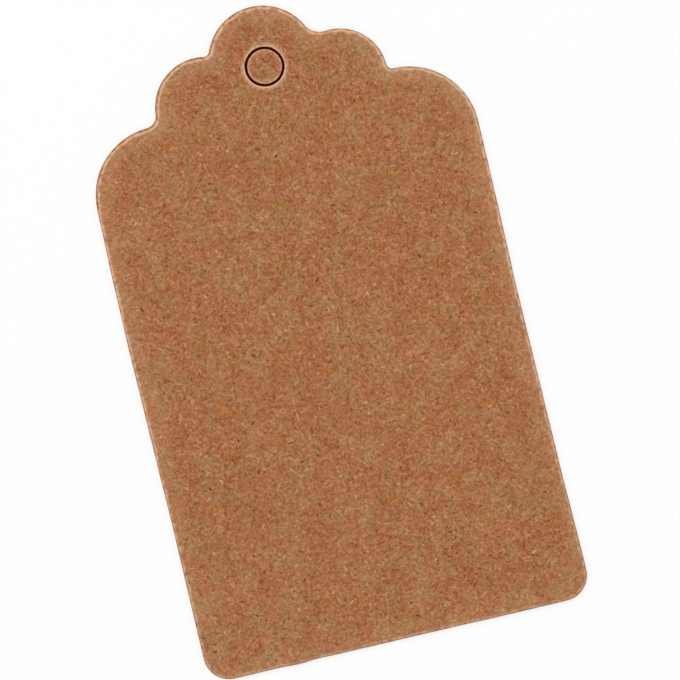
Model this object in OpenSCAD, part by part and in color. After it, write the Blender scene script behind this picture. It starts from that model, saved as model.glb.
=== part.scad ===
// Gift tag die-cut from kraft board. One end is scalloped, and the plug of the string
// hole is still in its hole. The card lies on its back at z = 0, with its face up.
// X runs across the card, Y runs from the plain end to the crown, and the origin is
// the middle of the back.

/* [Card] */
// Width of the card
card_w = 30.1; // [24:0.1:60]
// Length of the card, from the plain end to the top of the crown
card_l = 50; // [40:0.5:100]
// Thickness of the board
board_t = 0.45; // [0.3:0.05:0.8]
// Radius of the two corners at the plain end
corner_r = 2; // [0.5:0.1:5]

/* [Scalloped end] */
// Radius of the crown, the middle lobe that the string hole goes through
crown_r = 4.2; // [3.5:0.1:6]
// Radius of the two side lobes
lobe_r = 4.05; // [3:0.05:5.5]
// Distance of each side lobe's centre from the middle line
lobe_x = 5.1; // [4:0.1:7]
// How far the tops of the side lobes lie below the top of the crown
lobe_drop = 2.9; // [2:0.1:5]
// Radius of the two shoulders
shoulder_r = 5.4; // [3:0.1:8]
// How far the tops of the shoulders lie below the top of the crown
shoulder_drop = 7.2; // [6:0.05:10]
// Radius of the small round at the bottom of each valley of the outline
valley_r = 0.9; // [0.1:0.05:1.5]

/* [String hole] */
// Diameter of the string hole
hole_d = 3; // [2:0.1:5]
// How far the hole's centre lies below the top of the crown
hole_drop = 4.7; // [4:0.1:8]
// Width of the cut ring between the hole's wall and the plug, at the face
kerf_w = 0.17; // [0.1:0.01:0.4]
// Width of the cut ring at the back, where the blade's wedge runs out to its edge
kerf_root = 0.04; // [0.03:0.01:0.08]

/* [Nicks] */
// Number of nicks, the uncut bridges that keep the plug in its hole
nick_count = 3; // [2:1:6]
// Direction of the first nick from the middle of the plug, in degrees
nick_turn = 30; // [0:5:115]
// Width of a nick along the ring
nick_w = 0.3; // [0.1:0.05:0.6]
// Height of a nick, up from the back of the board
nick_h = 0.2; // [0.1:0.05:0.25]
// Hairline break between a nick and the hole's wall
nick_gap = 0.02; // [0.015:0.005:0.025]

/* [Crushed edges] */
// Radius of the lip that the blade leaves by rolling over each edge of the face
lip_r = 0.18; // [0.05:0.01:0.25]

/* [Hidden] */
$fn = 96;
kraft = "#a56f4b";
// How far a cutting tool runs past the board
past = 1;

top_y = card_l / 2;
foot_y = -card_l / 2;
side_x = card_w / 2;
hole_r = hole_d / 2;
plug_r = hole_r - kerf_w;

// Centres of the outline's rounds, on the right half
crown_c = [0, top_y - crown_r];
lobe_c = [lobe_x, top_y - lobe_drop - lobe_r];
shelf_y = top_y - shoulder_drop;
shoulder_c = [side_x - shoulder_r, shelf_y - shoulder_r];
corner_c = [side_x - corner_r, foot_y + corner_r];
hole_c = [0, top_y - hole_drop];

// Point at distance ra from a and rb from b, on the left of the way from a to b
function meet(a, ra, b, rb) =
    let (d = norm(b - a), u = (b - a) / d, s = (d * d + ra * ra - rb * rb) / (2 * d),
         h = sqrt(ra * ra - s * s))
    a + s * u + h * [-u.y, u.x];

// A valley's round runs this far into its neighbours, so that they cross cleanly
bite = 0.01;
valley_reach = valley_r - bite;

// The inner valley lies between the crown and the side lobe
inner_valley_c = meet(crown_c, crown_r + valley_reach, lobe_c, lobe_r + valley_reach);

// The outer one lies between the side lobe and the shelf, the straight run at the top
// of the shoulder, or the shoulder itself where the shelf is too short
valley_y = shelf_y + valley_reach;
shelf_valley_x = lobe_c.x + sqrt(pow(lobe_r + valley_reach, 2) - pow(valley_y - lobe_c.y, 2));
on_shelf = shelf_valley_x < shoulder_c.x;
outer_valley_c = on_shelf ? [shelf_valley_x, valley_y]
    : meet(lobe_c, lobe_r + valley_reach, shoulder_c, shoulder_r + valley_reach);
valley_root = on_shelf ? [shelf_valley_x, shoulder_c.y] : shoulder_c;

// Section of the board from an inner line to its upright cut edge, with the lip
module edge_section(reach) {
    square([reach, board_t - lip_r]);
    lip_section(reach);
}

// Section of the board behind a lip on the face, and of the lip itself
module lip_section(reach) {
    square([reach - lip_r, board_t]);
    translate([reach - lip_r, board_t - lip_r]) intersection() {
        square(lip_r);
        circle(lip_r);
    }
}

// Section of the plug from its axis to its wall, which leans as the blade's wedge did
module plug_section() {
    polygon([[0, 0], [hole_r - kerf_root, 0], [plug_r, board_t - lip_r], [0, board_t - lip_r]]);
    lip_section(plug_r);
}

// Section of what a round blade takes away, from its axis out to the lip
module blade_section(r) {
    translate([0, -past]) square([r, board_t + 2 * past]);
    difference() {
        translate([0, board_t - lip_r]) square([r + lip_r, lip_r + past]);
        translate([r + lip_r, board_t - lip_r]) circle(lip_r);
    }
}

// Round stretch of the outline, as a slice about its centre
module round_edge(centre, r, from = 0, sweep = 360) {
    translate(centre) rotate(from) rotate_extrude(angle = sweep) edge_section(r);
}

// Straight stretch of the outline, whose cut edge faces the given way. It starts at a
// point of its inner line and runs on to the left of the way it faces
module straight_edge(start, facing, reach, run) {
    translate(start) rotate([90, 0, facing]) mirror([0, 0, 1])
        linear_extrude(run) edge_section(reach);
}

// Cut of a round blade, with the lip that it leaves round its rim
module round_cut(centre, r) {
    translate(centre) rotate_extrude() blade_section(r);
}

// Board between the lobes and the shoulder, with the two valleys' rounds
module scallop_fill() {
    difference() {
        linear_extrude(board_t) polygon([
            [0, shoulder_c.y], crown_c, inner_valley_c, lobe_c, outer_valley_c, valley_root
        ]);
        round_cut(inner_valley_c, valley_r);
        round_cut(outer_valley_c, valley_r);
    }
}

// Right half of the card, without the crown
module half_card() {
    straight_edge([0, corner_c.y], -90, corner_r, corner_c.x);
    round_edge(corner_c, corner_r, -90, 90);
    straight_edge([0, corner_c.y], 0, side_x, shoulder_c.y - corner_c.y);
    round_edge(shoulder_c, shoulder_r, 0, 90);
    straight_edge(shoulder_c, 90, shoulder_r, shoulder_c.x);
    round_edge(lobe_c, lobe_r);
    scallop_fill();
}

module tag_card() {
    color(kraft)
    difference() {
        union() {
            half_card();
            mirror([1, 0, 0]) half_card();
            round_edge(crown_c, crown_r);
        }
        round_cut(hole_c, hole_r);
    }
}

module hole_plug() {
    color(kraft)
    translate(hole_c) {
        rotate_extrude() plug_section();
        for (i = [0 : nick_count - 1]) {
            rotate(nick_turn + i * 360 / nick_count)
            intersection() {
                cylinder(h = nick_h, r = hole_r - nick_gap);
                translate([0, -nick_w / 2, 0]) cube([hole_r, nick_w, nick_h]);
            }
        }
    }
}

tag_card();
hole_plug();
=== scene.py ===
import math
import random

import bpy
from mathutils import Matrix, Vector, kdtree


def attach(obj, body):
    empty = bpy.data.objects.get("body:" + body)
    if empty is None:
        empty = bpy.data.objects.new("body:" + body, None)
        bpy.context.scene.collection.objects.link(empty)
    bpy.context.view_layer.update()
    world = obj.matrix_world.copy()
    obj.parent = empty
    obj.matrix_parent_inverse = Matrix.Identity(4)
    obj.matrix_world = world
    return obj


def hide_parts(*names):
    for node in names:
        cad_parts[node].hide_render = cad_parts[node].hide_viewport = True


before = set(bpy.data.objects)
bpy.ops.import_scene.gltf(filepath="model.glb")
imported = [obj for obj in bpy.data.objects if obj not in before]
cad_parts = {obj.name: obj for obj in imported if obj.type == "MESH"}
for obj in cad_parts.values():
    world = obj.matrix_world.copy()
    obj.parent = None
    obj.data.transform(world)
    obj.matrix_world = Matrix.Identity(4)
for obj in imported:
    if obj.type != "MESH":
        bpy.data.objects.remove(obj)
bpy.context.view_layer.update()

MM = 0.001
TINY = 1e-8              # metres, under which points count as one
SAME_PLACE = 1e-4        # millimetres, under which two places count as one
FLAT_FACING = 0.99       # how straight up or down the normal of a flat face points

# The card and its hole, as in the CAD. The plug's rim is 0.045 mm wider than there
CARD_L, BOARD_T = 50.0, 0.45
CORNER_R = 2.0
HOLE_R, PLUG_R = 1.5, 1.375

# The scalloped end. On the real tag the two halves aren't quite alike, and these are their
# own sizes; the CAD has one outline, fitted to both. The hole was punched a little to the
# right
HOLE_X, HOLE_DROP = 0.073, 4.72
CROWN_R, CROWN_X = 4.19, 0.047
LOBE_R, LOBE_X = {"left": 3.88, "right": 3.67}, {"left": 5.07, "right": 5.55}
LOBE_DROP = {"left": 2.83, "right": 3.1}
SHOULDER_R, SHOULDER_DROP = {"left": 5.42, "right": 5.43}, {"left": 7.23, "right": 7.13}
SIDE_X = {"left": 15.05, "right": 15.09}
INNER_VALLEY_R = {"left": 0.4, "right": 1.5}
OUTER_VALLEY_R = {"left": 0.97, "right": 0.45}

# The long blades aren't quite straight: height on the card, and how far out the edge lies
SIDE_WANDER = {
    "left": [(-22, -0.025), (-12, -0.045), (-8, 0.0), (-4, 0.035), (1.4, 0.075), (7, 0.05),
             (11, -0.02), (12.6, -0.055), (16, 0.0)],
    "right": [(-22.4, 0.104), (-20.5, 0.08), (-18.6, 0.047), (-15, -0.013), (-9, -0.047),
              (-2, -0.084), (0, -0.1), (2, -0.055), (6, -0.02), (10, 0.0)],
}
# The same for the plain end, by the distance from the middle. The step is a small nick
FOOT_WANDER = [(-12, -0.03), (-9.6, -0.035), (-8, 0.04), (-6.6, -0.04), (-4, -0.015),
               (0, -0.005), (4, 0.01), (8, 0.045), (12, 0.045)]

# Sections of the edges that the blades roll over: distance in from the cut, and depth
# under the face. The last points all lie at the face, so the flat middle stays flat
OUTER_ROLL = [
    (0.0, 0.15), (0.015, 0.105), (0.04, 0.07), (0.08, 0.042), (0.13, 0.024),
    (0.2, 0.011), (0.3, 0.004), (0.42, 0.0), (0.6, 0.0), (1.0, 0.0), (1.4, 0.0), (1.85, 0.0),
]
RING_ROLL = [
    (0.0, 0.1), (0.01, 0.065), (0.04, 0.036), (0.07, 0.018), (0.11, 0.007),
    (0.15, 0.002), (0.2, 0.0), (0.3, 0.0), (0.6, 0.0),
]
# How far in from the cut each roll reaches
OUTER_REACH, RING_REACH = 0.42, 0.22
# How far in from it the board shows any sign of the blade
OUTER_END, RING_END = 1.9, 0.5
# Stands for a point that no roll reaches
UNTOUCHED = 9.0
# The flat middle of a side is the one face whose corners' mean lies this near the origin
MIDDLE_X, MIDDLE_Y = 5.0, 14.0
# The disc over the string hole has its middle this near the hole's axis
DISC_OFF = 0.01
# Round of the back edge, in from the cut and up, and the flat run beside it
BACK_EDGE = (0.02, 0.012)
BACK_FLAT = 0.3

STEP = 0.13              # spacing of the points along the cut
RING_POINTS = 96         # points round the hole and the plug
EDGE_FUZZ = 0.008        # how far torn fibres make the cut wall wander
FRAY_SEED = 5
ON_LINE = 0.02           # how far a frayed point may lie from the line that it was on
SMOOTH_UNDER = 40        # degrees, over which an edge stays sharp
PLIES = (0.07, 0.13, 0.2, 0.25)    # heights of the plies that show in the cut walls
# The plug's wall leans out below the face to a hairline at the back, as the blade's wedge
# ran to a point there
ROOT_GAP, ROOT_H = 0.002, 0.27

# Nicks, the uncut bridges between plug and hole. They reach up to one of the plies
NICK_COUNT, NICK_TURN, NICK_W, NICK_H, NICK_GAP = 3, 30.0, 0.3, 0.2, 0.002
NICK_START = 1e-3        # first short pull that parts a nick from the wall
WALL_FACING = 0.7        # a wall's normal points up or down less than this

TOP_Y, FOOT_Y = CARD_L / 2, -CARD_L / 2
LONG_SIDES_FROM = 11.0   # height on the card under which its long sides run straight
SCALLOPS_FROM = 14.0     # height over which the band lies as it does on the scalloped end
WALL_TOP = BOARD_T - OUTER_ROLL[0][1]
RING_TOP = BOARD_T - RING_ROLL[0][1]
ROOT_R = HOLE_R - ROOT_GAP
HOLE_C = Vector((HOLE_X, TOP_Y - HOLE_DROP, 0))
# Heights between which the cut walls fray
FRAY_FROM, FRAY_TO = BACK_EDGE[1] + 1e-3, BOARD_T - 0.06
# The plug's wall frays only where it lies further than this from the hole's
FRAY_CLEAR = 3 * EDGE_FUZZ

# Noise runs round this value
NOISE_MIDDLE = 0.5
# How far the plug's clouds lie from the card's
PLUG_SHIFT = (0.8, -0.6, 0)

# Fibre layers: cell, length, width and bow in millimetres, share of the cells that have
# one, and how strongly it tones the board. Real fibres are 0.03 mm wide, too fine to show
# here, so they are drawn 0.1 mm wide or more
FIBRES = [
    (0.32, 0.26, 0.13, 0.0, 0.6, 0.28),
    (0.4, 0.5, 0.10, 0.9, 0.9, 0.23),
    (0.65, 0.9, 0.10, 0.6, 0.8, 0.14),
    (1.1, 1.5, 0.11, 0.35, 0.5, 0.12),
    (2.6, 2.2, 0.11, 0.2, 0.3, 0.12),
]
# Shares of a fibre's width and length where it starts to fade, and where it is gone
FIBRE_SIDE, FIBRE_TIP = (0.25, 0.75), (0.35, 0.5)
# Each layer is moved along by these, so that no two lie alike
FIBRE_SHIFT, CURL_SHIFT = (31.7, 17.3), (13.1, 41.9)
# The slow swirl that bends the fibres: windings per millimetre, and reach
SWIRL_SCALE, SWIRL_REACH = 1.4, 0.5
# Curled fibres: windings per millimetre, width of the line as a share of its field, and
# how strongly it tones the board, pale or dark
CURLS = [(1.6, 0.045, 0.15), (2.3, 0.055, -0.15), (3.2, 0.07, 0.17), (4.2, 0.08, -0.2)]
# What breaks them: how much finer than the curls it is, its slice of the noise, and where
# in it a curl starts to show and is whole
CURL_BREAK_SCALE, CURL_BREAK_SLICE, CURL_BREAK = 1.3, 7.0, (0.44, 0.54)
# Grain between the fibres, and wide thick and thin places of the sheet: patches per
# millimetre, and strength
GRAIN = [(7.5, 0.3), (5.4, 0.5), (0.35, 0.1)]
# Clouds of the two pulps: patches per millimetre, and where in the noise the reddish pulp
# ends and the olive one is full
CLOUD_SCALE, REDDISH_TO, OLIVE_FROM = 0.72, 0.45, 0.6
CLOUD_ROUGHNESS = 0.55
# The two pulps, by how light the fibre is. A new ramp has its two ends, so they come first
REDDISH = [
    (0, "#7e421e"), (1, "#d29672"), (0.25, "#935733"), (0.5, "#a86c48"), (0.75, "#bd815d"),
]
OLIVE = [
    (0, "#7b4b24"), (1, "#cf9f78"), (0.25, "#906039"), (0.5, "#a5754e"), (0.75, "#ba8a63"),
]
# Resin that stained the pulp ochre in a few places: its tint, patches per millimetre, and
# where in its slice of the noise it starts and is full
OCHRE, OCHRE_SCALE, OCHRE_SLICE = "#fff6cc", 0.7, 3.0
OCHRE_FROM, OCHRE_FULL = 0.59, 0.74

# The pale band beside each cut, partly crushed board and partly painted highlight where the
# rolled edge catches the light, and the wide weak polish behind it, painted sheen: their
# colours
CRUSHED_HIGHLIGHT, POLISH_SHEEN = "#ddb08c", "#c49e77"
# Where the band starts, is full, starts to fade and is gone, as shares of a roll's reach
BAND = (0.15, 0.5, 0.62, 0.9)
# How strong the polish's painted sheen is, and where it is gone
POLISH_SHEEN_SHARE, POLISH_SHEEN_END = 0.27, 4.2
# On the long sides and the plain end the band lies closer to the cut, by the first share,
# and on the right half of the scalloped end by the second
BAND_CLOSER, BAND_CLOSER_RIGHT = 0.2, 0.15
# Where the right half's share starts and is full, across the card
RIGHT_FROM, RIGHT_FULL = -2.0, 4.0
# How far the band winds in and out, over the noise that drives it, and how often
BAND_WOBBLE, WOBBLE_SCALE = 0.7, 1.8
# How strong the band is at the plain end and at the crown. Stronger at the crown is painted
# highlight, as the light falls from that end
BAND_FOOT, BAND_CROWN = 0.4, 1.0
# How much it comes and goes, how often, and over which part of the noise
BAND_PATCHY, PATCH_SCALE, PATCH_NOISE = 0.75, 2.6, (0.3, 0.7)
# How strong the band is at the outline, the hole's rim and the plug's rim: partly how hard the
# blades crushed them, partly painted highlight
OUTLINE_CRUSH_HIGHLIGHT, HOLE_CRUSH_HIGHLIGHT, PLUG_CRUSH_HIGHLIGHT = 1.15, 2.0, 0.75
# Torn plies of the outer cut and of the ring round the plug, from dark to light. The ring's are
# painted shade, dark red-brown for how little light gets down the narrow cut
OUTER_PLIES = [(0.3, "#7d5638"), (0.7, "#b08a62")]
RING_SHADE_PLIES = [(0.3, "#440e02"), (0.7, "#701f08")]
RING_SHADE_UP = 0.055        # how far up the ring's rolled edges its painted shade reaches too
PLY_SQUEEZE, PLY_SCALE = 9, 2.5    # plies run this many times as long as thick
RELIEF = 0.012           # height of the fibres over the face
STREAK_SCALE, STREAK_RELIEF = 5.0, 0.5    # streaks along a fibre bundle

# How dull each finish is, and how little it shines
BOARD_ROUGHNESS, BOARD_SHINE, CELLULOSE_IOR = 0.95, 0.1, 1.47
PLY_ROUGHNESS, PLY_SHINE = 1.0, 0.05
BUNDLE_ROUGHNESS, BUNDLE_SHINE = 0.9, 0.15

# Shives, the thick fibre bundles: where the photograph shows one, its length and width,
# all in pixels, and its direction in degrees, clockwise from the right
PALE_SHIVES = [
    (227, 151, 5, 2.5, 27), (333, 592, 3.5, 3, 0), (204, 199, 4, 2.2, 72),
    (180, 418, 7, 2, 93), (374, 284, 4, 2.4, 0), (368, 411, 7.5, 2, 90),
    (216, 251, 4, 2.2, 72), (266, 135, 5, 2, 85), (337, 176, 4, 2, 18),
    (273, 314, 4, 2.2, 40), (221, 59, 4, 2, 100), (337, 328, 8, 1.8, 90),
    (249, 114, 12, 1.6, 92), (252, 106, 7, 1.6, 150),
]
DARK_SHIVES = [
    (317, 279, 7, 2, 110), (249, 234, 4.5, 2, 162), (332, 205, 5.5, 1.8, 165),
    (419, 256, 4, 2, 60), (318, 455, 4, 2, 20), (330, 160, 4, 2, 130), (242, 601, 4, 2, 10),
    (354, 100, 4, 1.8, 80), (411, 602, 4, 2, 150), (304, 580, 4, 2, 95), (164, 205, 4, 2, 30),
    (329, 361, 5.5, 2, 162),
]
# The rest lie anywhere inside this part of the face: sizes and bend, in millimetres and
# degrees, and how far they stand proud
STREWN_PALE, STREWN_DARK = 60, 50
PALE_SEED, DARK_SEED = 11, 12
STREWN_X, STREWN_Y = (-14.3, 14.3), (-24.2, 15.0)
SHIVE_LENGTH, SHIVE_WIDTH, SHIVE_BEND, SHIVE_RISE = (0.2, 0.5), (0.1, 0.17), 60, 0.008
SLIVER_SIDES, SLIVER_RINGS = 12, 6
PALE_SHIVE = [(0.35, "#b58460"), (0.65, "#cfa27d")]
DARK_SHIVE = [(0.35, "#63381a"), (0.65, "#875433")]

# The photograph's frame
FRAME_PX, PX_PER_MM = 680, 12.996
VIEW_CENTRE, CARD_LEAN = (0.848, -1.513), 13.38
LENS, SENSOR = 200.0, 36.0
CLIP_NEAR, CLIP_FAR = 0.001, 100

# Studio. Lamp and room together light the floor at a plain level
FLOOR_SIZE, FLOOR_WHITE = 6.0, "#ffffff"
FLOOR_GAP = 0.01         # the floor lies this far under the back, so they share no plane
FLOOR_BOUNCE = "#b4b4b4"
# Share of the floor's white that shadows don't reach, which keeps the shadow faint
FLOOR_GLOW = 0.7
DARK_R = (2.0, 2.5)      # from the hole's axis, it starts and is full at these distances
ROOM_LIGHT, LAMP_LIGHT = 0.62, 0.43
LAMP_PLACE, LAMP_SIZE = (-0.12, 0.4, 1.0), 1.0


# ---------------------------------------------------------------- modelling helpers

def only(obj):
    """Makes obj the one selected and active object."""
    bpy.ops.object.select_all(action="DESELECT")
    obj.select_set(True)
    bpy.context.view_layer.objects.active = obj


def pick(obj, vertex=None, face=None):
    """Selects the vertices or faces whose place passes a test, in edit mode. A test gets
    the place in millimetres, for a face the mean of its corners, and its normal too."""
    kind = "VERT" if vertex else "FACE"
    bpy.ops.mesh.select_mode(type=kind)
    bpy.ops.mesh.select_all(action="DESELECT")
    bpy.ops.object.mode_set(mode="OBJECT")
    mesh = obj.data
    if vertex:
        for v in mesh.vertices:
            v.select = vertex(v.co / MM)
    else:
        for f in mesh.polygons:
            corners = [mesh.vertices[i].co for i in f.vertices]
            f.select = face(sum(corners, Vector()) / len(corners) / MM, f.normal)
    bpy.ops.object.mode_set(mode="EDIT")


def swing(centre, degrees):
    """Carries the selected point round a centre, counter-clockwise, leaving an arc."""
    radius = (centre - last_point()).length
    steps = max(2, round(abs(math.radians(degrees)) * radius / STEP))
    bpy.ops.mesh.spin(
        steps=steps, angle=-math.radians(degrees), center=centre * MM, axis=(0, 0, 1))


def last_point():
    """Place of the one selected point, in millimetres."""
    bpy.context.edit_object.update_from_editmode()
    mesh = bpy.context.edit_object.data
    return next(v.co.copy() for v in mesh.vertices if v.select) / MM


def run_to(point):
    """Carries the selected point along a straight line, with points on the way."""
    way = point - last_point()
    steps = max(1, round(way.length / STEP))
    for _ in range(steps):
        bpy.ops.mesh.extrude_region_move(
            TRANSFORM_OT_translate={"value": way / steps * MM})


def meet(a, ra, b, rb, side):
    """The point at distance ra from a and rb from b, on the side that points up."""
    way = b - a
    d = way.length
    u = way / d
    s = (d * d + ra * ra - rb * rb) / (2 * d)
    h = math.sqrt(ra * ra - s * s)
    return a + u * s + Vector((-u.y, u.x, 0)) * h * side


def heading(centre, point):
    """Direction from a centre to a point, in degrees."""
    way = point - centre
    return math.degrees(math.atan2(way.y, way.x))


def half_outline(side):
    """Centres of one half's arcs, from the crown to the plain end. side is 1 for the right
    half, which runs clockwise, and -1 for the left."""
    name = "right" if side > 0 else "left"
    crown = Vector((CROWN_X, TOP_Y - CROWN_R, 0))
    lobe_r, shoulder_r = LOBE_R[name], SHOULDER_R[name]
    lobe = Vector((side * LOBE_X[name], TOP_Y - LOBE_DROP[name] - lobe_r, 0))
    shoulder = Vector((side * (SIDE_X[name] - shoulder_r),
                       TOP_Y - SHOULDER_DROP[name] - shoulder_r, 0))
    corner = Vector((side * (SIDE_X[name] - CORNER_R), FOOT_Y + CORNER_R, 0))
    r1, r2 = INNER_VALLEY_R[name], OUTER_VALLEY_R[name]
    inner = meet(crown, CROWN_R + r1, lobe, lobe_r + r1, side)
    outer = meet(lobe, lobe_r + r2, shoulder, shoulder_r + r2, side)
    return crown, inner, lobe, outer, shoulder, corner


def turn(centre, start, end, way):
    """Signed angle from start to end round a centre, going the given way."""
    swept = (heading(centre, end) - heading(centre, start)) * way % 360
    return swept * way


def draw_half(side):
    """Draws one half of the outline from the selected point at the crown's top."""
    crown, inner, lobe, outer, shoulder, corner = half_outline(side)
    swing(crown, turn(crown, last_point(), inner, -side))
    swing(inner, turn(inner, crown, lobe, side))
    swing(lobe, turn(lobe, inner, outer, -side))
    swing(outer, turn(outer, lobe, shoulder, side))
    swing(shoulder, turn(shoulder, outer, shoulder + Vector((side, 0, 0)), -side))
    run_to(Vector((last_point().x, corner.y, 0)))
    swing(corner, -90 * side)
    run_to(Vector((CROWN_X, FOOT_Y, 0)))


def wander(stops, place):
    """How far out a blade lies at a place, smoothly between its stops."""
    if place <= stops[0][0]:
        return stops[0][1]
    for (start, low), (end, high) in zip(stops, stops[1:]):
        if place < end:
            share = (place - start) / (end - start)
            return low + (high - low) * (1 - math.cos(math.pi * share)) / 2
    return stops[-1][1]


def let_blades_wander(obj):
    """Moves the outline's points out or in, as the long blades stray from straight."""
    bpy.ops.object.mode_set(mode="OBJECT")
    for v in obj.data.vertices:
        x, y, _ = v.co / MM
        side = 1 if x > 0 else -1
        v.co.x += side * wander(SIDE_WANDER["right" if x > 0 else "left"], y) * MM
        if y < FOOT_Y + CORNER_R:
            v.co.y -= wander(FOOT_WANDER, x) * MM
    bpy.ops.object.mode_set(mode="EDIT")


def roll_edge(section):
    """Insets the selected face step by step, along the section of a rolled edge. A section
    that is given from its far end sinks the face instead."""
    for (start, low), (end, high) in zip(section, section[1:]):
        bpy.ops.mesh.inset(thickness=abs(end - start) * MM, depth=(low - high) * MM)


def from_ring(p):
    """Distance from the string hole's axis."""
    return (p - HOLE_C).xy.length


def flat_at(z, up):
    """Test for the flat face at a height, looking up or down."""
    return lambda c, n: abs(c.z - z) < SAME_PLACE and n.z * up > FLAT_FACING


def finish_mesh(obj):
    """Merges doubles, turns every face outwards and smooths all but the sharp edges."""
    bpy.ops.mesh.select_all(action="SELECT")
    bpy.ops.mesh.remove_doubles(threshold=TINY)
    bpy.ops.mesh.normals_make_consistent(inside=False)
    bpy.ops.object.mode_set(mode="OBJECT")
    only(obj)
    bpy.ops.object.shade_smooth_by_angle(angle=math.radians(SMOOTH_UNDER))


def start_point(name, place):
    """A new piece that is a single point, selected in edit mode."""
    bpy.ops.object.select_all(action="DESELECT")
    bpy.ops.mesh.primitive_plane_add(size=MM)
    obj = bpy.context.object
    obj.name = obj.data.name = name
    bpy.ops.object.mode_set(mode="EDIT")
    bpy.ops.mesh.select_all(action="SELECT")
    bpy.ops.mesh.merge(type="CENTER")
    bpy.ops.transform.translate(value=place * MM)
    return obj


def open_seams():
    """Selects the open edges, those with a face on one side only."""
    bpy.ops.mesh.select_mode(type="EDGE")
    bpy.ops.mesh.select_all(action="DESELECT")
    bpy.ops.mesh.select_non_manifold(
        extend=False, use_wire=False, use_boundary=True, use_multi_face=False,
        use_non_contiguous=False, use_verts=False)


def face_round_hole(obj, z, up, reach):
    """Fills a side's flat middle up to a disc, round the place of the string hole."""
    pick(obj, face=lambda c, n: flat_at(z, up)(c, n) and abs(c.x) < MIDDLE_X
         and abs(c.y) < MIDDLE_Y)
    bpy.ops.mesh.delete(type="ONLY_FACE")
    bpy.ops.mesh.primitive_circle_add(
        vertices=RING_POINTS, radius=(HOLE_R + reach) * MM, fill_type="NGON",
        location=(HOLE_C + Vector((0, 0, z))) * MM, rotation=(0 if up > 0 else math.pi, 0, 0))
    open_seams()
    bpy.ops.mesh.fill(use_beauty=True)
    bpy.ops.mesh.select_all(action="SELECT")
    bpy.ops.mesh.delete_loose(use_verts=True, use_edges=True, use_faces=False)


def in_hole(z, up):
    """Test for the disc over the string hole."""
    return lambda c, n: flat_at(z, up)(c, n) and from_ring(c) < DISC_OFF


# ---------------------------------------------------------------- the pieces

def cut_card():
    """The card: outline drawn as arcs, raised to a slab, edges rolled, hole punched."""
    crown_top = Vector((CROWN_X, TOP_Y, 0))
    card = start_point("die_cut_card", crown_top)
    draw_half(1)
    pick(card, vertex=lambda p: (p - crown_top).length < SAME_PLACE)
    draw_half(-1)
    bpy.ops.mesh.select_all(action="SELECT")
    bpy.ops.mesh.remove_doubles(threshold=TINY)
    let_blades_wander(card)
    bpy.ops.mesh.select_all(action="SELECT")
    bpy.ops.mesh.edge_face_add()
    bpy.ops.transform.translate(value=(0, 0, BACK_EDGE[1] * MM))
    bpy.ops.mesh.extrude_region_move(
        TRANSFORM_OT_translate={"value": (0, 0, (WALL_TOP - BACK_EDGE[1]) * MM)})
    bpy.ops.mesh.select_all(action="SELECT")
    bpy.ops.mesh.normals_make_consistent(inside=False)

    # Face and back
    pick(card, face=flat_at(WALL_TOP, 1))
    roll_edge(OUTER_ROLL)
    face_round_hole(card, BOARD_T, 1, RING_ROLL[-1][0])
    pick(card, face=flat_at(BACK_EDGE[1], -1))
    bpy.ops.mesh.inset(thickness=BACK_EDGE[0] * MM, depth=BACK_EDGE[1] * MM)
    bpy.ops.mesh.inset(thickness=BACK_FLAT * MM, depth=0)
    face_round_hole(card, 0, -1, BACK_EDGE[0] + BACK_FLAT)

    # The string hole, rolled in at the face
    pick(card, face=in_hole(BOARD_T, 1))
    roll_edge(RING_ROLL[::-1])
    bpy.ops.mesh.delete(type="FACE")
    pick(card, face=in_hole(0, -1))
    bpy.ops.mesh.inset(thickness=BACK_FLAT * MM, depth=0)
    bpy.ops.mesh.inset(thickness=BACK_EDGE[0] * MM, depth=-BACK_EDGE[1] * MM)
    bpy.ops.mesh.delete(type="FACE")
    open_seams()
    bpy.ops.mesh.bridge_edge_loops()
    layer_walls()
    finish_mesh(card)
    fray(card, lambda p: FRAY_FROM < p.z < FRAY_TO
         and (from_ring(p) > CROWN_R / 2 or p.z > ROOT_H))
    return card


def layer_walls():
    """Cuts the walls across at the board's plies."""
    for z in PLIES:
        bpy.ops.mesh.select_all(action="SELECT")
        bpy.ops.mesh.bisect(plane_co=(0, 0, z * MM), plane_no=(0, 0, 1), threshold=TINY)


def fray(obj, where):
    """Lets torn fibres push the cut wall a little in and out."""
    only(obj)
    bpy.ops.object.mode_set(mode="EDIT")
    pick(obj, vertex=where)
    bpy.ops.transform.vertex_random(offset=EDGE_FUZZ * MM, uniform=0, normal=0, seed=FRAY_SEED)
    bpy.ops.object.mode_set(mode="OBJECT")


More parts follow.
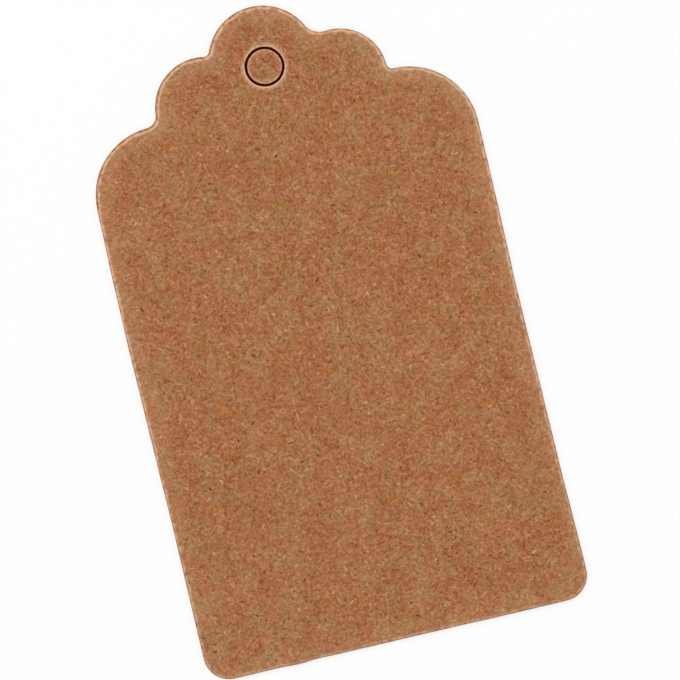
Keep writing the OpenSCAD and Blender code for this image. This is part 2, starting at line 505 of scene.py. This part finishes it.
def punch_plug():
    """The plug: a disc with a flared foot, its own rolled edge and the stubs of the nicks
    near the back."""
    bpy.ops.object.select_all(action="DESELECT")
    bpy.ops.mesh.primitive_circle_add(
        vertices=RING_POINTS, radius=ROOT_R * MM, fill_type="NGON")
    plug = bpy.context.object
    plug.name = plug.data.name = "hole_plug_disc"
    bpy.ops.object.mode_set(mode="EDIT")
    bpy.ops.mesh.select_all(action="SELECT")
    bpy.ops.transform.translate(value=(0, 0, BACK_EDGE[1] * MM))
    for z, radius_from, radius_to in (
            (ROOT_H - BACK_EDGE[1], ROOT_R, PLUG_R), (RING_TOP - ROOT_H, PLUG_R, PLUG_R)):
        bpy.ops.mesh.extrude_region_move(TRANSFORM_OT_translate={"value": (0, 0, z * MM)})
        lean = radius_to / radius_from
        bpy.ops.transform.resize(value=(lean, lean, 1))
    bpy.ops.mesh.select_all(action="SELECT")
    bpy.ops.mesh.normals_make_consistent(inside=False)
    pick(plug, face=flat_at(RING_TOP, 1))
    roll_edge(RING_ROLL)
    pick(plug, face=flat_at(BACK_EDGE[1], -1))
    bpy.ops.mesh.inset(thickness=BACK_EDGE[0] * MM, depth=BACK_EDGE[1] * MM)
    layer_walls()
    for i in range(NICK_COUNT):
        draw_nick(plug, NICK_TURN + i * 360 / NICK_COUNT)
    finish_mesh(plug)
    fray(plug, lambda p: FRAY_FROM < p.z < FRAY_TO and p.xy.length < HOLE_R - FRAY_CLEAR)
    only(plug)
    bpy.ops.transform.translate(value=HOLE_C * MM)
    bpy.ops.object.transform_apply(location=True, rotation=False, scale=False)
    return plug


def draw_nick(plug, degrees):
    """Pulls the plug's wall out to the hole's wall below the nick's height."""
    out = Vector((math.cos(math.radians(degrees)), math.sin(math.radians(degrees)), 0))

    def on_wall(c, n):
        side = c.xy.to_3d()
        near = side.length > PLUG_R - EDGE_FUZZ and c.z < NICK_H and abs(n.z) < WALL_FACING
        return near and (side - out * side.length).length < NICK_W / 2

    pick(plug, face=on_wall)
    bpy.ops.mesh.extrude_region_move(TRANSFORM_OT_translate={"value": out * NICK_START * MM})
    bpy.ops.object.mode_set(mode="OBJECT")
    for v in plug.data.vertices:
        if v.select:
            v.co.xy = v.co.xy.normalized() * (HOLE_R - NICK_GAP) * MM
    bpy.ops.object.mode_set(mode="EDIT")


def on_card(px, py):
    """Place on the face, in millimetres, of a point of the photograph in pixels."""
    across = (px + 0.5 - FRAME_PX / 2) / PX_PER_MM
    up = (FRAME_PX / 2 - py - 0.5) / PX_PER_MM
    lean = math.radians(CARD_LEAN)
    return (VIEW_CENTRE[0] + across * math.cos(lean) + up * math.sin(lean),
            VIEW_CENTRE[1] - across * math.sin(lean) + up * math.cos(lean))


def press_shives(name, seen, strewn, seed):
    """One piece of all the fibre bundles of a tone, pressed flat into the face: those that
    the photograph shows, and more strewn between them."""
    chance = random.Random(seed)
    marks = [(*on_card(px, py), length / PX_PER_MM, width / PX_PER_MM, -degrees - CARD_LEAN)
             for px, py, length, width, degrees in seen]
    while len(marks) < len(seen) + strewn:
        x, y = chance.uniform(*STREWN_X), chance.uniform(*STREWN_Y)
        marks.append((x, y, chance.uniform(*SHIVE_LENGTH), chance.uniform(*SHIVE_WIDTH),
                      chance.uniform(0, 180)))
    slivers = []
    for x, y, length, width, degrees in marks:
        bpy.ops.object.select_all(action="DESELECT")
        bpy.ops.mesh.primitive_uv_sphere_add(
            segments=SLIVER_SIDES, ring_count=SLIVER_RINGS, radius=1)
        sliver = bpy.context.object
        sliver.scale = Vector((length / 2, width / 2, SHIVE_RISE)) * MM
        bpy.ops.object.transform_apply(location=False, rotation=False, scale=True)
        bend = sliver.modifiers.new("bend", "SIMPLE_DEFORM")
        bend.deform_method, bend.deform_axis = "BEND", "Z"
        bend.angle = math.radians(chance.uniform(-SHIVE_BEND, SHIVE_BEND))
        bpy.ops.object.modifier_apply(modifier=bend.name)
        sliver.location = Vector((x, y, BOARD_T)) * MM
        sliver.rotation_euler.z = math.radians(degrees)
        bpy.ops.object.transform_apply(location=True, rotation=True, scale=False)
        slivers.append(sliver)
    bpy.ops.object.select_all(action="DESELECT")
    for sliver in slivers:
        sliver.select_set(True)
    bpy.context.view_layer.objects.active = slivers[0]
    bpy.ops.object.join()
    piece = bpy.context.object
    piece.name = piece.data.name = name
    bpy.ops.object.mode_set(mode="EDIT")
    finish_mesh(piece)
    return piece


def mark_cut(obj, cuts):
    """Writes on each point how far it lies from the nearest cut, as a share of how far
    that cut's roll reaches in, and how strong the pale band is there, partly how hard the
    blade crushed the board and partly painted highlight, so that the band follows every
    edge. Each cut is a test for its points, the reach of its roll, how far in its blade left
    any sign and the band's strength there."""
    points = [v.co / MM for v in obj.data.vertices]
    nearest = [(UNTOUCHED, 0.0)] * len(points)
    for is_cut, reach, end, crush_highlight in cuts:
        cut = [p for p in points if is_cut(p)]
        tree = kdtree.KDTree(len(cut))
        for i, p in enumerate(cut):
            tree.insert(p.xy.to_3d(), i)
        tree.balance()
        for i, p in enumerate(points):
            way_in = tree.find(p.xy.to_3d())[2]
            if way_in < end and p.z > BACK_EDGE[1] + TINY:
                nearest[i] = min(nearest[i], (way_in / reach, crush_highlight))
    for name, values in zip(("from_cut", "crush_highlight"), zip(*nearest)):
        mark = obj.data.attributes.new(name, "FLOAT", "POINT")
        mark.data.foreach_set("value", values)


# ---------------------------------------------------------------- finishes

def linear(code):
    """An sRGB hex colour as the linear one that a shader takes."""
    parts = [int(code[i:i + 2], 16) / 255 for i in (1, 3, 5)]
    return [c / 12.92 if c <= 0.04045 else ((c + 0.055) / 1.055) ** 2.4 for c in parts] + [1.0]


def add(tree, kind, inputs=(), stops=(), **settings):
    """Adds a node with its settings. Inputs are given as socket name or number and value
    or feeding socket, and a ramp's stops as place and colour."""
    node = tree.nodes.new(kind)
    for name, value in settings.items():
        setattr(node, name, value)
    for name, value in dict(inputs).items():
        socket = node.inputs[name]
        if isinstance(value, bpy.types.NodeSocket):
            tree.links.new(value, socket)
        else:
            socket.default_value = value
    for i, (place, colour) in enumerate(stops):
        ramp = node.color_ramp.elements
        stop = ramp[i] if i < 2 else ramp.new(place)
        stop.position, stop.color = place, linear(colour)
    return node


def lay_fibres(tree, place, cell, length, width, bow, share):
    """One layer of fibres: a short bowed stroke in each cell, turned its own way and
    lighter or darker than the board. Sizes in millimetres. share is how many cells have
    one. Gives -1 on the darkest, 1 on the lightest and 0 between the fibres."""
    cells = add(tree, "ShaderNodeTexVoronoi", {"Vector": place, "Scale": 1 / cell},
                voronoi_dimensions="2D", feature="F1")
    chance = add(tree, "ShaderNodeSeparateColor", {0: cells.outputs["Color"]})
    local = add(tree, "ShaderNodeVectorMath", {0: place, 1: cells.outputs["Position"]},
                operation="SUBTRACT")
    angle = add(tree, "ShaderNodeMath", {0: chance.outputs[0], 1: math.pi * 2},
                operation="MULTIPLY")
    turned = add(tree, "ShaderNodeVectorRotate",
                 {"Vector": local.outputs[0], "Angle": angle.outputs[0]},
                 rotation_type="Z_AXIS")
    xy = add(tree, "ShaderNodeSeparateXYZ", {0: turned.outputs[0]})
    square = add(tree, "ShaderNodeMath", {0: xy.outputs[0], 1: xy.outputs[0]},
                 operation="MULTIPLY")
    bowed = add(tree, "ShaderNodeMath", {0: square.outputs[0], 1: bow, 2: xy.outputs[1]},
                operation="MULTIPLY_ADD")
    off = add(tree, "ShaderNodeMath", {0: bowed.outputs[0]}, operation="ABSOLUTE")
    body = add(tree, "ShaderNodeMapRange",
               {0: off.outputs[0], 1: width * FIBRE_SIDE[0], 2: width * FIBRE_SIDE[1],
                3: 1.0, 4: 0.0},
               interpolation_type="SMOOTHSTEP")
    along = add(tree, "ShaderNodeMath", {0: xy.outputs[0]}, operation="ABSOLUTE")
    ends = add(tree, "ShaderNodeMapRange",
               {0: along.outputs[0], 1: length * FIBRE_TIP[0], 2: length * FIBRE_TIP[1],
                3: 1.0, 4: 0.0})
    stroke = add(tree, "ShaderNodeMath", {0: body.outputs[0], 1: ends.outputs[0]},
                 operation="MULTIPLY")
    there = add(tree, "ShaderNodeMath", {0: chance.outputs[1], 1: share},
                operation="LESS_THAN")
    shown = add(tree, "ShaderNodeMath", {0: stroke.outputs[0], 1: there.outputs[0]},
                operation="MULTIPLY")
    sign = add(tree, "ShaderNodeMapRange", {0: chance.outputs[2], 3: -1.0, 4: 1.0})
    return add(tree, "ShaderNodeMath", {0: shown.outputs[0], 1: sign.outputs[0]},
               operation="MULTIPLY").outputs[0]


def lay_curls(tree, place, scale, line):
    """One layer of curled fibres: thin winding lines, broken into pieces. Gives 1 on a
    fibre and 0 between."""
    field = add(tree, "ShaderNodeTexNoise", {"Vector": place, "Scale": scale, "Detail": 0.0},
                noise_dimensions="2D")
    off = add(tree, "ShaderNodeMath", {0: field.outputs[0], 1: NOISE_MIDDLE},
              operation="SUBTRACT")
    off = add(tree, "ShaderNodeMath", {0: off.outputs[0]}, operation="ABSOLUTE")
    body = add(tree, "ShaderNodeMapRange", {0: off.outputs[0], 1: 0.0, 2: line, 3: 1.0, 4: 0.0},
               interpolation_type="SMOOTHSTEP")
    breaks = add(tree, "ShaderNodeTexNoise",
                 {"Vector": place, "Scale": scale * CURL_BREAK_SCALE, "Detail": 0.0,
                  "W": CURL_BREAK_SLICE},
                 noise_dimensions="4D")
    there = add(tree, "ShaderNodeMapRange",
                {0: breaks.outputs[0], 1: CURL_BREAK[0], 2: CURL_BREAK[1]})
    return add(tree, "ShaderNodeMath", {0: body.outputs[0], 1: there.outputs[0]},
               operation="MULTIPLY").outputs[0]


def board_place(tree, shift=(0, 0, 0)):
    """Object coordinates in millimetres, moved along so that two pieces differ."""
    coords = add(tree, "ShaderNodeTexCoord")
    return add(tree, "ShaderNodeMapping",
               {"Vector": coords.outputs["Object"], "Location": shift,
                "Scale": (1 / MM,) * 3}).outputs[0]


def new_finish(name):
    """An empty material and its tree."""
    made = bpy.data.materials.new(name)
    made.use_nodes = True
    made.node_tree.nodes.clear()
    return made, made.node_tree


def crushed_highlight_share(tree, place):
    """How far the pale band hides the fibres, from 0 to 1: a narrow band beside each cut,
    partly crushed board and partly painted highlight where the rolled edge catches the light,
    and a wide weak polish behind it, painted sheen. It is stronger towards the crown, painted
    highlight from the light that falls from that end. Also gives how much of it is the band,
    and not the polish."""
    start, full, fade, gone = BAND
    across, height, _ = add(tree, "ShaderNodeSeparateXYZ", {0: place}).outputs
    cut = add(tree, "ShaderNodeAttribute", attribute_name="from_cut").outputs["Fac"]
    wobble = add(tree, "ShaderNodeTexNoise",
                 {"Vector": place, "Scale": WOBBLE_SCALE, "Detail": 2.0})
    wobble = add(tree, "ShaderNodeMath", {0: wobble.outputs[0], 1: NOISE_MIDDLE},
                 operation="SUBTRACT")
    cut = add(tree, "ShaderNodeMath", {0: wobble.outputs[0], 1: BAND_WOBBLE, 2: cut},
              operation="MULTIPLY_ADD").outputs[0]
    right = add(tree, "ShaderNodeMapRange",
                {0: across, 1: RIGHT_FROM, 2: RIGHT_FULL, 4: BAND_CLOSER_RIGHT})
    closer = add(tree, "ShaderNodeMapRange",
                 {0: height, 1: LONG_SIDES_FROM, 2: SCALLOPS_FROM, 3: BAND_CLOSER,
                  4: right.outputs[0]})
    cut = add(tree, "ShaderNodeMath", {0: cut, 1: closer.outputs[0]}).outputs[0]
    rise = add(tree, "ShaderNodeMapRange", {0: cut, 1: start, 2: full})
    fall = add(tree, "ShaderNodeMapRange", {0: cut, 1: fade, 2: gone, 3: 1.0, 4: POLISH_SHEEN_SHARE})
    tail = add(tree, "ShaderNodeMapRange", {0: cut, 1: gone, 2: POLISH_SHEEN_END, 3: 1.0, 4: 0.0})
    band = add(tree, "ShaderNodeMath", {0: rise.outputs[0], 1: fall.outputs[0]},
               operation="MULTIPLY")
    band = add(tree, "ShaderNodeMath", {0: band.outputs[0], 1: tail.outputs[0]},
               operation="MULTIPLY")
    strength = add(tree, "ShaderNodeMapRange",
                   {0: height, 1: FOOT_Y, 2: TOP_Y, 3: BAND_FOOT, 4: BAND_CROWN})
    crush_highlight = add(tree, "ShaderNodeAttribute", attribute_name="crush_highlight").outputs["Fac"]
    strength = add(tree, "ShaderNodeMath", {0: strength.outputs[0], 1: crush_highlight},
                   operation="MULTIPLY")
    patchy = add(tree, "ShaderNodeTexNoise",
                 {"Vector": place, "Scale": PATCH_SCALE, "Detail": 2.0})
    patchy = add(tree, "ShaderNodeMapRange",
                 {0: patchy.outputs[0], 1: PATCH_NOISE[0], 2: PATCH_NOISE[1],
                  3: 1 - BAND_PATCHY, 4: 1 + BAND_PATCHY})
    strength = add(tree, "ShaderNodeMath", {0: strength.outputs[0], 1: patchy.outputs[0]},
                   operation="MULTIPLY")
    share = add(tree, "ShaderNodeMath", {0: band.outputs[0], 1: strength.outputs[0]},
                operation="MULTIPLY", use_clamp=True)
    return share.outputs[0], fall.outputs[0]


def kraft_board(name, shift):
    """Unbleached kraft board: red-brown and olive pulps felted together, so the eye sees
    soft clouds a millimetre across under a mat of fine curled fibres, with a paler band
    where the blade crushed the face, which also carries painted highlight and sheen."""
    made, tree = new_finish(name)
    place = board_place(tree, shift)

    # A slow swirl bends the fibres, which never lie quite straight
    swirl = add(tree, "ShaderNodeTexNoise",
                {"Vector": place, "Scale": SWIRL_SCALE, "Detail": 1.0})
    swirl = add(tree, "ShaderNodeVectorMath",
                {0: swirl.outputs["Color"], 1: (NOISE_MIDDLE,) * 3}, operation="SUBTRACT")
    bent = add(tree, "ShaderNodeVectorMath",
               {0: swirl.outputs[0], 1: (SWIRL_REACH,) * 3, 2: place},
               operation="MULTIPLY_ADD").outputs[0]

    layers = []
    for i, (*sizes, weight) in enumerate(FIBRES):
        apart = add(tree, "ShaderNodeVectorMath",
                    {0: bent, 1: (FIBRE_SHIFT[0] * i, FIBRE_SHIFT[1] * i, 0)})
        layers.append((lay_fibres(tree, apart.outputs[0], *sizes), weight))
    for i, (scale, line, weight) in enumerate(CURLS):
        apart = add(tree, "ShaderNodeVectorMath",
                    {0: bent, 1: (CURL_SHIFT[0] * i, CURL_SHIFT[1] * i, 0)})
        layers.append((lay_curls(tree, apart.outputs[0], scale, line), weight))
    for scale, weight in GRAIN:
        grain = add(tree, "ShaderNodeTexNoise",
                    {"Vector": place, "Scale": scale, "Detail": 0.0})
        grain = add(tree, "ShaderNodeMath", {0: grain.outputs[0], 1: NOISE_MIDDLE},
                    operation="SUBTRACT")
        layers.append((grain.outputs[0], weight))
    tone = 0.5    # middle of both pulps' ramps
    for socket, weight in layers:
        tone = add(tree, "ShaderNodeMath", {0: socket, 1: weight, 2: tone},
                   operation="MULTIPLY_ADD").outputs[0]

    clouds = add(tree, "ShaderNodeTexNoise",
                 {"Vector": place, "Scale": CLOUD_SCALE, "Detail": 2.0,
                  "Roughness": CLOUD_ROUGHNESS})
    olive = add(tree, "ShaderNodeMapRange",
                {0: clouds.outputs[0], 1: REDDISH_TO, 2: OLIVE_FROM})
    shades = [add(tree, "ShaderNodeValToRGB", {0: tone}, stops) for stops in (REDDISH, OLIVE)]
    pulp = add(tree, "ShaderNodeMix",
               {0: olive.outputs[0], 6: shades[0].outputs[0], 7: shades[1].outputs[0]},
               data_type="RGBA")
    resin = add(tree, "ShaderNodeTexNoise",
                {"Vector": place, "Scale": OCHRE_SCALE, "Detail": 2.0, "W": OCHRE_SLICE},
                noise_dimensions="4D")
    resin = add(tree, "ShaderNodeMapRange",
                {0: resin.outputs[0], 1: OCHRE_FROM, 2: OCHRE_FULL})
    face = add(tree, "ShaderNodeMix",
               {0: resin.outputs[0], 6: pulp.outputs[2], 7: linear(OCHRE)},
               data_type="RGBA", blend_type="MULTIPLY")

    # The pale band: crushed board with painted highlight, and painted sheen behind it
    share, band = crushed_highlight_share(tree, place)
    pale = add(tree, "ShaderNodeMix", {0: band, 6: linear(POLISH_SHEEN), 7: linear(CRUSHED_HIGHLIGHT)},
               data_type="RGBA")
    colour = add(tree, "ShaderNodeMix", {0: share, 6: face.outputs[2], 7: pale.outputs[2]},
                 data_type="RGBA")
    relief = add(tree, "ShaderNodeBump",
                 {"Strength": 1.0, "Distance": RELIEF * MM, "Height": tone})
    shader = add(tree, "ShaderNodeBsdfPrincipled",
                 {"Base Color": colour.outputs[2], "Roughness": BOARD_ROUGHNESS,
                  "Specular IOR Level": BOARD_SHINE, "IOR": CELLULOSE_IOR,
                  "Normal": relief.outputs[0]})
    add(tree, "ShaderNodeOutputMaterial", {"Surface": shader.outputs[0]})
    return made


def torn_plies(name, stops):
    """Cut wall of the board: the blade split its plies, so the eye sees dull ragged
    streaks that run along the wall. For the ring round the plug its stops are painted shade."""
    made, tree = new_finish(name)
    place = board_place(tree)
    strata = add(tree, "ShaderNodeMapping", {"Vector": place, "Scale": (1, 1, PLY_SQUEEZE)})
    plies = add(tree, "ShaderNodeTexNoise",
                {"Vector": strata.outputs[0], "Scale": PLY_SCALE, "Detail": 3.0})
    shade = add(tree, "ShaderNodeValToRGB", {0: plies.outputs[0]}, stops)
    relief = add(tree, "ShaderNodeBump",
                 {"Strength": 1.0, "Distance": RELIEF * MM, "Height": plies.outputs[0]})
    shader = add(tree, "ShaderNodeBsdfPrincipled",
                 {"Base Color": shade.outputs[0], "Roughness": PLY_ROUGHNESS,
                  "Specular IOR Level": PLY_SHINE, "Normal": relief.outputs[0]})
    add(tree, "ShaderNodeOutputMaterial", {"Surface": shader.outputs[0]})
    return made


def fibre_bundle(name, stops):
    """A shive of unpulped wood: dull and streaky, paler or darker than the board."""
    made, tree = new_finish(name)
    streaks = add(tree, "ShaderNodeTexNoise",
                  {"Vector": board_place(tree), "Scale": STREAK_SCALE, "Detail": 1.0})
    shade = add(tree, "ShaderNodeValToRGB", {0: streaks.outputs[0]}, stops)
    relief = add(tree, "ShaderNodeBump",
                 {"Strength": STREAK_RELIEF, "Distance": RELIEF * MM,
                  "Height": streaks.outputs[0]})
    shader = add(tree, "ShaderNodeBsdfPrincipled",
                 {"Base Color": shade.outputs[0], "Roughness": BUNDLE_ROUGHNESS,
                  "Specular IOR Level": BUNDLE_SHINE, "Normal": relief.outputs[0]})
    add(tree, "ShaderNodeOutputMaterial", {"Surface": shader.outputs[0]})
    return made


def dress(obj, board, walls=()):
    """Gives a piece its board finish, and each set of wall faces its own one."""
    obj.data.materials.clear()
    obj.data.materials.append(board)
    only(obj)
    for slot, (finish, is_wall) in enumerate(walls, 1):
        obj.data.materials.append(finish)
        bpy.ops.object.mode_set(mode="EDIT")
        pick(obj, face=is_wall)
        obj.active_material_index = slot
        bpy.ops.object.material_slot_assign()
        bpy.ops.object.mode_set(mode="OBJECT")


def ring_wall(c, n):
    """Test for the faces that take the ring's painted shade: the walls on both sides of the cut
    ring, with the start of their rolls.
    """
    return BACK_EDGE[1] < c.z < RING_TOP + RING_SHADE_UP and from_ring(c) < CROWN_R / 2


def outer_wall(c, n):
    """Test for the wall along the card's outline."""
    return BACK_EDGE[1] < c.z < WALL_TOP and from_ring(c) > CROWN_R / 2


# ---------------------------------------------------------------- studio

def lay_floor():
    """A plain white floor, wide enough for the views from the side."""
    bpy.ops.mesh.primitive_plane_add(size=FLOOR_SIZE, location=(0, 0, -FLOOR_GAP * MM))
    floor = bpy.context.object
    floor.name = "floor"
    made, tree = new_finish("white_studio_floor")
    ray = add(tree, "ShaderNodeLightPath")
    tone = add(tree, "ShaderNodeMix",
               {0: ray.outputs["Is Camera Ray"], 6: linear(FLOOR_BOUNCE),
                7: linear(FLOOR_WHITE)}, data_type="RGBA")
    shader = add(tree, "ShaderNodeBsdfDiffuse", {"Color": tone.outputs[2]})
    glow = add(tree, "ShaderNodeEmission", {"Color": linear(FLOOR_WHITE), "Strength": 1.0})
    spot = add(tree, "ShaderNodeTexCoord").outputs["Object"]
    away = add(tree, "ShaderNodeVectorMath", {0: spot, 1: HOLE_C * MM}, operation="DISTANCE")
    lit = add(tree, "ShaderNodeMapRange",
              {0: away.outputs["Value"], 1: DARK_R[0] * MM, 2: DARK_R[1] * MM, 4: FLOOR_GLOW})
    share = add(tree, "ShaderNodeMath", {0: ray.outputs["Is Camera Ray"], 1: lit.outputs[0]},
                operation="MULTIPLY")
    seen = add(tree, "ShaderNodeMixShader",
               {0: share.outputs[0], 1: shader.outputs[0], 2: glow.outputs[0]})
    add(tree, "ShaderNodeOutputMaterial", {"Surface": seen.outputs[0]})
    dress(floor, made)


def light_studio():
    """A wide soft lamp over the scalloped end and an even pale room."""
    room = bpy.data.worlds.new("pale_room")
    room.use_nodes = True
    tree = room.node_tree
    tree.nodes.clear()
    ray = add(tree, "ShaderNodeLightPath")
    seen = add(tree, "ShaderNodeMath", {0: ray.outputs["Is Camera Ray"],
                                        1: ray.outputs["Is Glossy Ray"]}, operation="MAXIMUM")
    seen = add(tree, "ShaderNodeMath", {0: seen.outputs[0],
                                        1: ray.outputs["Is Transmission Ray"]},
               operation="MAXIMUM")
    level = add(tree, "ShaderNodeMapRange", {0: seen.outputs[0], 3: ROOM_LIGHT, 4: 1.0})
    air = add(tree, "ShaderNodeBackground",
              {"Color": (1, 1, 1, 1), "Strength": level.outputs[0]})
    add(tree, "ShaderNodeOutputWorld", {"Surface": air.outputs[0]})
    bpy.context.scene.world = room

    bpy.ops.object.light_add(type="AREA", location=LAMP_PLACE)
    lamp = bpy.context.object
    lamp.name = "soft_lamp"
    lamp.data.shape = "DISK"
    lamp.data.size = LAMP_SIZE
    lamp.rotation_euler = Vector(LAMP_PLACE).to_track_quat("Z", "Y").to_euler()
    # Power that makes the lamp's share of the light on the floor LAMP_LIGHT
    facing = Vector(LAMP_PLACE).normalized().z
    lamp.data.energy = LAMP_LIGHT * math.pi ** 2 * Vector(LAMP_PLACE).length_squared / facing


def set_camera():
    """Looks straight down, turned so that the tag leans as it does in the photograph."""
    distance = LENS / SENSOR * FRAME_PX / PX_PER_MM
    bpy.ops.object.camera_add(
        location=Vector((*VIEW_CENTRE, WALL_TOP / 2 + distance)) * MM,
        rotation=(0, 0, math.radians(-CARD_LEAN)))
    camera = bpy.context.object
    camera.data.lens, camera.data.sensor_width = LENS, SENSOR
    camera.data.clip_start, camera.data.clip_end = CLIP_NEAR, CLIP_FAR
    bpy.context.scene.camera = camera


# ---------------------------------------------------------------- the scene

card = cut_card()
mark_cut(card, [
    (lambda p: abs(p.z - WALL_TOP) < ON_LINE and from_ring(p) > CROWN_R / 2,
     OUTER_REACH, OUTER_END, OUTLINE_CRUSH_HIGHLIGHT),
    (lambda p: abs(p.z - RING_TOP) < ON_LINE and from_ring(p) < CROWN_R / 2,
     RING_REACH, RING_END, HOLE_CRUSH_HIGHLIGHT)])
plug = punch_plug()
mark_cut(plug, [(lambda p: abs(p.z - RING_TOP) < ON_LINE, RING_REACH, RING_END, PLUG_CRUSH_HIGHLIGHT)])
# The walls of the cut ring, on the card and on the plug, take painted shade of the narrow cut
ring_shade_finish = torn_plies("kerf_painted_shade_plies", RING_SHADE_PLIES)
dress(card, kraft_board("uncoated_kraft_board", (0, 0, 0)), [
    (torn_plies("torn_kraft_plies", OUTER_PLIES), outer_wall),
    (ring_shade_finish, ring_wall)])
dress(plug, kraft_board("uncoated_kraft_board_plug", PLUG_SHIFT),
      [(ring_shade_finish, ring_wall)])
for piece, body, node, slot in (
        (card, "card", "tag_card", "kraft_board"), (plug, "plug", "hole_plug", "plug_board")):
    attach(piece, body)
    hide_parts(node)
for name, seen, strewn, seed, finish in (
        ("pale_shives", PALE_SHIVES, STREWN_PALE, PALE_SEED,
         ("bleached_fibre_bundle", PALE_SHIVE)),
        ("dark_shives", DARK_SHIVES, STREWN_DARK, DARK_SEED,
         ("bark_fibre_bundle", DARK_SHIVE))):
    shives = press_shives(name, seen, strewn, seed)
    dress(shives, fibre_bundle(*finish))
    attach(shives, "card")
lay_floor()
light_studio()
set_camera()
bpy.context.scene.view_settings.view_transform = "Standard"
